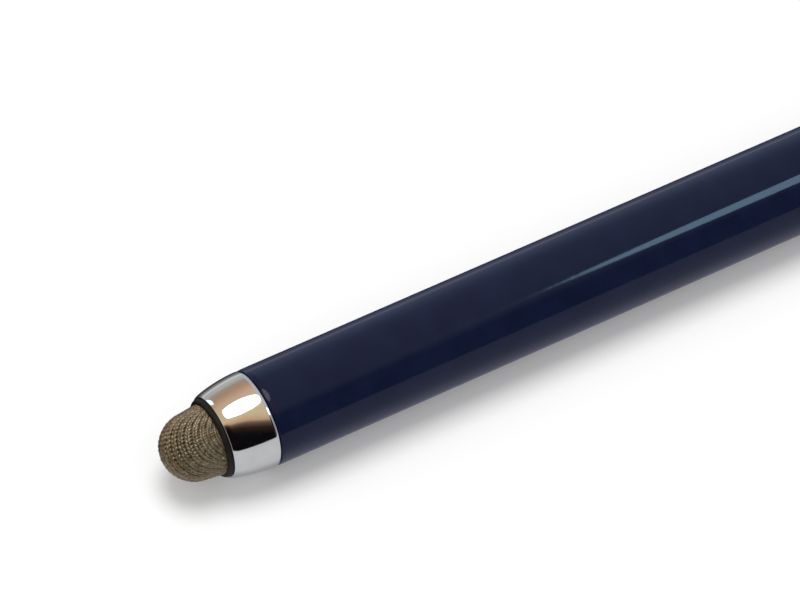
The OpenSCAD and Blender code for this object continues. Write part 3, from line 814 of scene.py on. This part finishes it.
# Groove for the rubber ring, then the round grip grooves
outline += [(groove_from - fine_edge, section_r), (groove_from, section_r - fine_edge),
            (groove_from, groove_floor), (groove_to, groove_floor),
            (groove_to, section_r - fine_edge), (groove_to + fine_edge, section_r)]
for k in range(groove_count, 0, -1):
    centre_x = taper_x - k * groove_pitch
    outline.append((centre_x - groove_r - fine_edge, section_r))
    for step in range(groove_steps + 1):
        angle = math.pi * step / groove_steps
        outline.append((centre_x - groove_r * math.cos(angle), section_r - groove_r * math.sin(angle)))
    outline.append((centre_x + groove_r + fine_edge, section_r))
# Long arc down to the nose, its rounded end and the bore with the step for the refill
taper_steps, nose_steps = 24, 6
for step in range(taper_steps + 1):
    along = (taper_len - nose_round) * step / taper_steps
    at_r = section_r - taper_arc_r + math.sqrt(taper_arc_r ** 2 - along ** 2)
    outline.append((taper_x + along, at_r))
for step in range(1, nose_steps + 1):
    angle = math.pi / 2 * step / nose_steps
    outline.append((section_high.x - nose_round * (1 - math.sin(angle)),
                    at_r - nose_round * (1 - math.cos(angle))))
outline += [(section_high.x, stem_r + run_gap + mouth_chamfer),
            (section_high.x - mouth_chamfer, stem_r + run_gap),
            (step_x, stem_r + run_gap), (step_x, section_bore_r)]
section = turned("grip_section_black", outline, sides=128, shape=threaded(
    thread_from, thread_to, section_pitch, thread_depth))
dress(section, satin, "section", "black_lacquer", "grip_section")

grip_ring = turned("grip_ring_rubber", cord_outline(grip_ring_low, grip_ring_high), sides=96)
dress(grip_ring, rubber, "section", "seal_rubber", "grip_ring")


# Refill
# A drawn metal tube of ink with a crimped brass point that holds a bright steel ball. It pushes
# up from the back of the section until its shoulder meets the step near the nose.
tube_low, tube_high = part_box("refill_tube")
point_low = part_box("refill_point")[0]
ball_low, ball_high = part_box("refill_ball")
tube_wall = 0.3 * mm
tube_bore_r = refill_r - tube_wall
ball_r = ball_high.z
ball_x = (ball_low.x + ball_high.x) / 2
crimp_back = 1.6 * mm
crimp_x = tube_high.x - crimp_back
crimp_half, crimp_slope, crimp_depth = 0.1 * mm, 0.25 * mm, 0.08 * mm
tube_edge, tube_back_round, tube_front_round = 0.03 * mm, 0.1 * mm, 0.06 * mm

# Nickel-plated drawn tube: grey bright metal with faint lines along its draw
nickel = surfaced(
    "nickel-plated drawn tube", dark="b9bcc0", light="cdd0d3", patch=1.2 * mm,
    rough=(0.22, 0.34), grain=(6 * mm, 0.09 * mm), depth=0.001 * mm, Metallic=1.0)
# Hardened steel, ground: cool and bright
steel = surfaced(
    "hardened steel, ground", dark="8d9095", light="a2a5aa", patch=0.4 * mm,
    rough=(0.14, 0.22), grain=(0.05 * mm, 0.05 * mm), depth=0.0005 * mm, Metallic=1.0)
# Ballpoint ink paste: nearly black blue, wet
ink = surfaced(
    "ballpoint ink paste", dark="050a26", light="0a1238", patch=0.5 * mm,
    rough=(0.08, 0.2), grain=(0.4 * mm, 0.4 * mm), depth=0.004 * mm)

refill = turned("refill_tube_nickel", rounded([
    (tube_low.x, tube_bore_r, tube_edge), (tube_low.x, refill_r, tube_back_round),
    (crimp_x - crimp_slope, refill_r, 0), (crimp_x - crimp_half, refill_r - crimp_depth, 0),
    (crimp_x + crimp_half, refill_r - crimp_depth, 0), (crimp_x + crimp_slope, refill_r, 0),
    (tube_high.x, refill_r, tube_front_round), (tube_high.x, tube_bore_r, tube_edge),
]), sides=64)
dress(refill, nickel, "section", "refill_metal", "refill_tube")
frame["nodes"]["refill_ink"].data.materials.clear()
frame["nodes"]["refill_ink"].data.materials.append(ink)

# The point's edge is spun in past the middle of the ball, and its seat follows the ball round
# to the ink channel
held_share, edge_wall, edge_turned_in = 0.3, 0.095 * mm, 0.02 * mm
edge_x, edge_r = ball_x + held_share * ball_r, ball_r + edge_wall
cone_len, spun_len, channel_r = 2 * mm, 0.25 * mm, 0.25 * mm
plug_r = tube_bore_r - seat_gap
plug_drop, plug_lead = 0.1 * mm, 0.15 * mm
head_drop, head_lead = 0.05 * mm, 0.07 * mm
shoulder_drop, shoulder_lead = 0.08 * mm, 0.1 * mm
ball_play, channel_angle, seat_steps = 0.015 * mm, 0.5, 8
seat_r = ball_r + ball_play
seat_from, seat_to = math.acos(held_share * ball_r / seat_r), math.pi - channel_angle
seat_angles = [seat_from + (seat_to - seat_from) * k / seat_steps for k in range(seat_steps + 1)]
seat = [(ball_x + seat_r * math.cos(angle), seat_r * math.sin(angle)) for angle in seat_angles]
point = turned("refill_point_brass", [
    (point_low.x, channel_r), (point_low.x, plug_r - plug_drop),
    (point_low.x + plug_lead, plug_r), (tube_high.x + seat_gap, plug_r),
    (tube_high.x + seat_gap, refill_r - head_drop), (tube_high.x + head_lead, refill_r),
    (step_x - shoulder_lead, refill_r), (step_x - seat_gap, refill_r - shoulder_drop),
    (step_x - seat_gap, stem_r), (edge_x - cone_len, stem_r),
    (edge_x - spun_len, edge_r + (stem_r - edge_r) * spun_len / cone_len),
    (edge_x, edge_r - edge_turned_in),
] + seat + [(seat[-1][0], channel_r)], sides=64)
dress(point, brass, "section", "brass", "refill_point")

ball_steps = 16
ball = turned("refill_ball_steel", [(ball_x - ball_r, 0)] + [
    (ball_x - ball_r * math.cos(math.pi * k / ball_steps), ball_r * math.sin(math.pi * k / ball_steps))
    for k in range(1, ball_steps)
] + [(ball_x + ball_r, 0)], sides=48)
dress(ball, steel, "section", "steel", "refill_ball")


# Cap
# A lacquered tube like the barrel on a moulded liner, with a chromed lip at its mouth and a
# domed chromed crown at its top, held by a screw from inside.
lip_low, lip_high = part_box("cap_lip")
tube_start, tube_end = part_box("cap_tube")
liner_low, liner_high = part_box("cap_liner")
crown_low, crown_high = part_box("crown")
screw_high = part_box("crown_screw")[1]
cap_bore_r = liner_high.z + seat_gap
crown_spigot_r = cap_bore_r - seat_gap
liner_wall, liner_floor_back, mouth_round = 0.42 * mm, 2.4 * mm, 0.15 * mm
liner_bore_r = crown_spigot_r - liner_wall
liner_floor_x = liner_high.x - liner_floor_back
screw_head_r, screw_bore_r, screw_head_deep = 1.6 * mm, 0.83 * mm, 1.03 * mm
screw_head_x = liner_floor_x + screw_head_deep
clip_t = 0.7 * mm
clip_w = 3.2 * mm
foot_gap = 0.16 * mm
foot_r = 2.3 * mm
foot_x = tube_end.x - foot_gap - clip_t
hinge_axis = Vector([joint for joint in frame["joints"] if joint["name"] == "clip_flex"][0]["axis"])
clip_out = Vector((1, 0, 0)).cross(hinge_axis).normalized()
clip_angle = math.atan2(clip_out.z, clip_out.y)
slot_half = clip_w / 2 + foot_gap
slot_x = foot_x - foot_gap
corner_nudge = 0.002

lip = turned("cap_lip_chrome", rounded([
    (lip_low.x, cap_bore_r, ring_round), (lip_high.x, cap_bore_r, ring_round),
    (lip_high.x, cap_r, edge), (lip_low.x, cap_r, edge),
]))
dress(lip, chrome, "cap", "bright_chrome", "cap_lip")


def notched(x, r, angle):
    """Slot in the tube's end that the clip's foot passes through."""
    off = angle - clip_angle
    if x > slot_x and math.cos(off) > 0 and abs(math.sin(off)) * r < slot_half:
        return slot_x, r
    return x, r


def slot_angles(*radii):
    """Angles just inside and outside the slot's two walls, where they cross the given radii."""
    return [clip_angle + side * (math.asin(slot_half / r) + nudge)
            for side in (-1, 1) for r in radii for nudge in (-corner_nudge, corner_nudge)]


cap_tube = turned("cap_tube_lacquer", rounded([
    (tube_start.x, cap_bore_r, fine_edge), (slot_x - fine_edge, cap_bore_r, 0),
    (tube_end.x, cap_bore_r, fine_edge), (tube_end.x, cap_r, edge), (slot_x - fine_edge, cap_r, 0),
    (tube_start.x, cap_r, edge),
]), shape=notched, more_angles=slot_angles(cap_r, cap_bore_r))
dress(cap_tube, lacquer, "cap", "navy_lacquer", "cap_tube")

liner = turned("cap_liner_moulded", rounded([
    (liner_low.x, liner_bore_r, mouth_round), (liner_low.x, liner_high.z, soft_round),
    (liner_high.x, liner_high.z, soft_round), (liner_high.x, screw_bore_r, fine_round),
    (screw_head_x, screw_bore_r, fine_round), (screw_head_x, screw_head_r + run_gap, fine_round),
    (liner_floor_x, screw_head_r + run_gap, soft_round), (liner_floor_x, liner_bore_r, back_round),
]), sides=128)
dress(liner, moulded, "cap", "black_plastic", "cap_liner")
frame["nodes"]["crown_screw"].data.materials.clear()
frame["nodes"]["crown_screw"].data.materials.append(steel)

crown_x = tube_end.x
dome_arc_r = 11 * mm
rim_round = 0.6 * mm
rim_r = cap_r - rim_round
rim_x = crown_high.x - dome_arc_r + math.sqrt((dome_arc_r - rim_round) ** 2 - rim_r ** 2)
dome_lean = math.asin(rim_r / (dome_arc_r - rim_round))
rim_steps, dome_steps, corner_points = 8, 16, 9
step_side, rim_lead, corner_reach = 0.01 * mm, 0.1 * mm, 2 * mm
screw_hole_r, hole_chamfer = 0.8 * mm, 0.1 * mm
# Spigot with the step of the pocket, the lower edge, the rim's round, the dome and the screw's hole
crown_outline = [(crown_low.x, screw_hole_r - hole_chamfer), (crown_low.x, crown_spigot_r - small_chamfer),
                 (crown_low.x + small_chamfer, crown_spigot_r)]
crown_outline += [(slot_x - step_side, crown_spigot_r), (slot_x + step_side, crown_spigot_r),
                  (crown_x - step_side, crown_spigot_r), (crown_x, crown_spigot_r)]
crown_outline += rounded([
    (crown_x, cap_r, edge), (crown_x + corner_reach, cap_r, 0), (crown_x, cap_r - corner_reach, 0),
])[:corner_points]
crown_outline.append((rim_x - rim_lead, cap_r))
for step in range(rim_steps + 1):
    angle = math.pi / 2 - (math.pi / 2 - dome_lean) * step / rim_steps
    crown_outline.append((rim_x + rim_round * math.cos(angle), rim_r + rim_round * math.sin(angle)))
for step in range(1, dome_steps + 1):
    angle = dome_lean * (1 - step / dome_steps)
    crown_outline.append((crown_high.x - dome_arc_r * (1 - math.cos(angle)), dome_arc_r * math.sin(angle)))
crown_outline += [(screw_high.x, 0), (screw_high.x, screw_hole_r),
                  (crown_low.x + hole_chamfer, screw_hole_r)]


def pocketed(x, r, angle):
    """Pocket in the spigot for the clip's foot."""
    off = angle - clip_angle
    if slot_x < x < crown_x and r > foot_r and math.cos(off) > 0 and abs(math.sin(off)) * r < slot_half:
        return x, (foot_r - foot_gap) / math.cos(off)
    return x, r


crown = turned("crown_chrome", crown_outline, shape=pocketed, more_angles=slot_angles(crown_spigot_r))
dress(crown, chrome, "cap", "bright_chrome", "crown")


# Clip
# A strip of spring steel, blanked to a taper with a round end, bent over at its root and kicked
# up at its free end, then polished and chromed. Its foot is caught between crown and cap.
clip_gap = 1.6 * mm
touch_gap = 0.12 * mm
clip_len = 34 * mm
clip_end_r = 1.2 * mm
bend_r, kick_r = 0.8 * mm, 2 * mm
kick_angle, kick_len, kick_short = math.radians(22), 3 * mm, 0.1 * mm
clip_edge, clip_crown, end_half = 0.16 * mm, 0.2 * mm, 0.12 * mm
clip_top_r = cap_r + clip_gap + clip_t
bend_at = Vector((foot_x - bend_r, clip_top_r - clip_t - bend_r))
kick_at = Vector((crown_x - clip_len + kick_len, cap_r + touch_gap + clip_t + kick_r))
between = (bend_at - kick_at).length
sum_r = bend_r + clip_t + kick_r
arm_slope = math.asin(sum_r / between) - math.atan2(kick_at.y - bend_at.y, bend_at.x - kick_at.x)
arm_len = math.sqrt(between ** 2 - sum_r ** 2)
kick_run = (kick_len - (kick_r + clip_t / 2) * math.sin(kick_angle)) / math.cos(kick_angle)

# Middle line of the strip as (x, r) places with headings, from its foot to its free end
spine = []
here, heading = Vector((foot_x + clip_t / 2, foot_r)), math.pi / 2
for run, radius, turn, run_steps, turn_steps in (
        (bend_at.y - foot_r, bend_r + clip_t / 2, math.pi / 2 + arm_slope, 3, 14),
        (arm_len, kick_r + clip_t / 2, -(arm_slope + kick_angle), 6, 8),
        (kick_run - kick_short, 0, 0, 16, 0)):
    for step in range(run_steps):
        share = step / run_steps
        spine.append((here + Vector((math.cos(heading), math.sin(heading))) * run * share, heading))
    here = here + Vector((math.cos(heading), math.sin(heading))) * run
    for step in range(turn_steps):
        now = turn * step / turn_steps
        side = 1 if turn > 0 else -1
        centre = here + Vector((-math.sin(heading), math.cos(heading))) * radius * side
        arm = Vector((math.sin(heading + now), -math.cos(heading + now))) * radius * side
        spine.append((centre + arm, heading + now))
        last = centre + Vector((math.sin(heading + turn), -math.cos(heading + turn))) * radius * side
    if turn_steps:
        here, heading = last, heading + turn
spine.append((here, heading))

# Rounded section of the strip at each place, and the skin between the sections
tip_x = crown_x - clip_len
clip_side = Vector((1, 0, 0)).cross(clip_out)
edge_steps = 3
vertices, rings = [], []
for (x, r), heading in spine:
    share = (x - tip_x - clip_end_r) / (clip_len - clip_end_r)
    half_w = clip_end_r + (clip_w / 2 - clip_end_r) * min(max(share, 0), 1)
    if share < 0:
        half_w = math.sqrt(max(clip_end_r ** 2 - (tip_x + clip_end_r - x) ** 2, end_half ** 2))
    bevel = min(clip_edge, half_w * 0.5)
    half_t = clip_t / 2
    section_points = []
    for side_w, side_t in ((1, 1), (-1, 1), (-1, -1), (1, -1)):
        turns = range(edge_steps + 1) if side_w == side_t else range(edge_steps, -1, -1)
        for k in turns:
            angle = math.pi / 2 * k / edge_steps
            section_points.append((side_w * (half_w - bevel * (1 - math.cos(angle))),
                                   side_t * (half_t - bevel * (1 - math.sin(angle)))))
        if side_t == 1 and side_w == 1:
            section_points += [(half_w * w, half_t) for w in (0.5, 0, -0.5)]
    ring = []
    for w, t in section_points:
        # The outer face is slightly crowned across the strip
        if t > 0:
            t -= clip_crown * (w / (clip_w / 2)) ** 2
        normal = Vector((-math.sin(heading), math.cos(heading))) * -1
        at_x, at_r = x + normal.x * t, r + normal.y * t
        place = Vector((at_x, 0, 0)) + clip_out * at_r + clip_side * w
        ring.append(len(vertices))
        vertices.append(tuple(place))
    rings.append(ring)
faces = [list(rings[0]), list(reversed(rings[-1]))]
for ring, after in zip(rings, rings[1:]):
    for k in range(len(ring)):
        other = (k + 1) % len(ring)
        faces.append([ring[k], ring[other], after[other], after[k]])
mesh = bpy.data.meshes.new("clip_strip")
mesh.from_pydata(vertices, [], faces)
clip = finished("clip_strip", mesh)
dress(clip, chrome, "clip", "bright_chrome", "clip")
